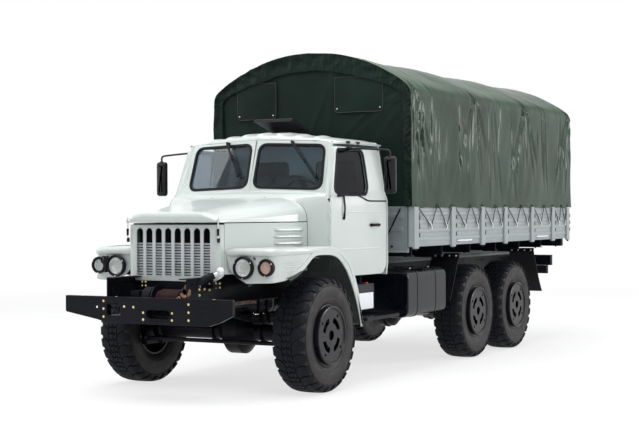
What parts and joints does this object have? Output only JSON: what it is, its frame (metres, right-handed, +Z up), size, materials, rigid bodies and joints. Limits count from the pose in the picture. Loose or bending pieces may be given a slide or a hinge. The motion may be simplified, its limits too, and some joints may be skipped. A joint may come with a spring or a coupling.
{
  "type": "long-nose six-wheel-drive military cargo truck with canvas-covered bed",
  "caption": "Bonneted off-road cargo truck with a two-pane cab, a winch bumper, drop-side steel bed and an arched canvas cover.",
  "frame": {"origin": "on the ground under the middle of the overall box", "axes": "front faces -Y, +X is the truck's left side, +Z up"},
  "size_m": [2.796, 7.9, 3.3498],
  "materials": {
    "chassis_paint": "satin blue-black chassis paint",
    "cab_paint": "gloss pale grey-green cab paint",
    "bed_paint": "semi-gloss bluish grey bed paint",
    "rubber_tyre": "matt tyre rubber",
    "black_rubber": "matt rubber",
    "rim_paint": "satin blue-black rim paint",
    "glass": "clear tinted glass",
    "lamp_glass": "clear lamp glass over a bright bowl",
    "canvas": "coated green tarpaulin",
    "interior": "dark grey trim",
    "seat_cloth": "dark vinyl seat cover",
    "wood": "painted bench slats",
    "cast": "cast iron",
    "mirror_plastic": "black mirror housing"
  },
  "bodies": {
    "chassis": {"frame_rails": "chassis_paint", "crossmembers": "chassis_paint", "front_bumper": "chassis_paint", "winch": "chassis_paint", "grille": "cab_paint", "radiator": "chassis_paint", "engine": "cast", "driveline": "chassis_paint", "front_axle": "chassis_paint", "rear_axles": "chassis_paint", "suspension": "chassis_paint", "hood_sides": "cab_paint", "fenders": "cab_paint", "lamps": "lamp_glass", "cab_floor": "cab_paint", "cab_front": "cab_paint", "windscreen_frame": "cab_paint", "windscreen": "glass", "cab_roof": "cab_paint", "cab_rear_wall": "cab_paint", "dashboard": "interior", "seats": "seat_cloth", "bed_floor": "bed_paint", "bed_walls": "bed_paint", "canvas_top": "canvas", "canvas_front": "canvas", "canvas_bows": "bed_paint", "benches": "wood", "fuel_tanks": "chassis_paint", "battery_box": "chassis_paint", "side_steps": "chassis_paint", "air_tanks": "chassis_paint", "exhaust": "cast", "mudflaps": "black_rubber", "rear_beam": "chassis_paint"},
    "left_knuckle": {"left_knuckle": "chassis_paint"},
    "right_knuckle": {"right_knuckle": "chassis_paint"},
    "tie_rod": {"tie_rod": "chassis_paint"},
    "hood": {"hood": "cab_paint"},
    "tailgate": {"tailgate": "bed_paint"},
    "roof_hatch": {"roof_hatch": "chassis_paint"},
    "steering_wheel": {"steering_wheel": "interior"},
    "left_door": {"left_door": "cab_paint", "left_door_glass": "glass", "left_mirror": "mirror_plastic"},
    "front_left_wheel": {"front_left_tyre": "rubber_tyre", "front_left_rim": "rim_paint"},
    "middle_left_wheel": {"middle_left_tyre": "rubber_tyre", "middle_left_rim": "rim_paint"},
    "rear_left_wheel": {"rear_left_tyre": "rubber_tyre", "rear_left_rim": "rim_paint"},
    "right_door": {"right_door": "cab_paint", "right_door_glass": "glass", "right_mirror": "mirror_plastic"},
    "front_right_wheel": {"front_right_tyre": "rubber_tyre", "front_right_rim": "rim_paint"},
    "middle_right_wheel": {"middle_right_tyre": "rubber_tyre", "middle_right_rim": "rim_paint"},
    "rear_right_wheel": {"rear_right_tyre": "rubber_tyre", "rear_right_rim": "rim_paint"}
  },
  "joints": [
    {"name": "steer_left", "type": "hinge", "parent": "chassis", "child": "left_knuckle", "pos_m": [0.77, -2.635, 0.53], "axis": [0, 0, 1], "range_deg": [-28, 28]},
    {"name": "steer_right", "type": "hinge", "parent": "chassis", "child": "right_knuckle", "pos_m": [-0.77, -2.635, 0.53], "axis": [0, 0, 1], "range_deg": [-28, 28]},
    {"name": "tie_rod_pivot", "type": "hinge", "parent": "left_knuckle", "child": "tie_rod", "pos_m": [0.765, -2.89, 0.456], "axis": [0, 0, 1], "range_deg": [-28, 28]},
    {"name": "front_left_wheel_spin", "type": "hinge", "parent": "left_knuckle", "child": "front_left_wheel", "pos_m": [0.96, -2.635, 0.53], "axis": [1, 0, 0], "continuous": true},
    {"name": "middle_left_wheel_spin", "type": "hinge", "parent": "chassis", "child": "middle_left_wheel", "pos_m": [0.96, 0.875, 0.53], "axis": [1, 0, 0], "continuous": true},
    {"name": "rear_left_wheel_spin", "type": "hinge", "parent": "chassis", "child": "rear_left_wheel", "pos_m": [0.96, 2.095, 0.53], "axis": [1, 0, 0], "continuous": true},
    {"name": "front_right_wheel_spin", "type": "hinge", "parent": "right_knuckle", "child": "front_right_wheel", "pos_m": [-0.96, -2.635, 0.53], "axis": [1, 0, 0], "continuous": true},
    {"name": "middle_right_wheel_spin", "type": "hinge", "parent": "chassis", "child": "middle_right_wheel", "pos_m": [-0.96, 0.875, 0.53], "axis": [1, 0, 0], "continuous": true},
    {"name": "rear_right_wheel_spin", "type": "hinge", "parent": "chassis", "child": "rear_right_wheel", "pos_m": [-0.96, 2.095, 0.53], "axis": [1, 0, 0], "continuous": true},
    {"name": "left_door_hinge", "type": "hinge", "parent": "chassis", "child": "left_door", "pos_m": [0.925, -2.255, 1.6], "axis": [0, 0, -1], "range_deg": [0, 65]},
    {"name": "right_door_hinge", "type": "hinge", "parent": "chassis", "child": "right_door", "pos_m": [-0.925, -2.255, 1.6], "axis": [0, 0, 1], "range_deg": [0, 65]},
    {"name": "hood_hinge", "type": "hinge", "parent": "chassis", "child": "hood", "pos_m": [0, -2.34, 1.818], "axis": [-1, 0, 0], "range_deg": [0, 50]},
    {"name": "tailgate_hinge", "type": "hinge", "parent": "chassis", "child": "tailgate", "pos_m": [0, 3.88, 1.3], "axis": [-1, 0, 0], "range_deg": [0, 178]},
    {"name": "hatch_hinge", "type": "hinge", "parent": "chassis", "child": "roof_hatch", "pos_m": [-0.085, -1.205, 2.478], "axis": [1, 0, 0], "range_deg": [-44, 16]},
    {"name": "steering_wheel_turn", "type": "hinge", "parent": "chassis", "child": "steering_wheel", "pos_m": [0.45, -1.855, 1.815], "axis": [0, 0.766, 0.6428], "range_deg": [-448, 448]}
  ],
  "couplings": [
    {"joint": "steer_right", "follows": "steer_left", "ratio": 1},
    {"joint": "tie_rod_pivot", "follows": "steer_left", "ratio": -1},
    {"joint": "steering_wheel_turn", "follows": "steer_left", "ratio": 16}
  ]
}
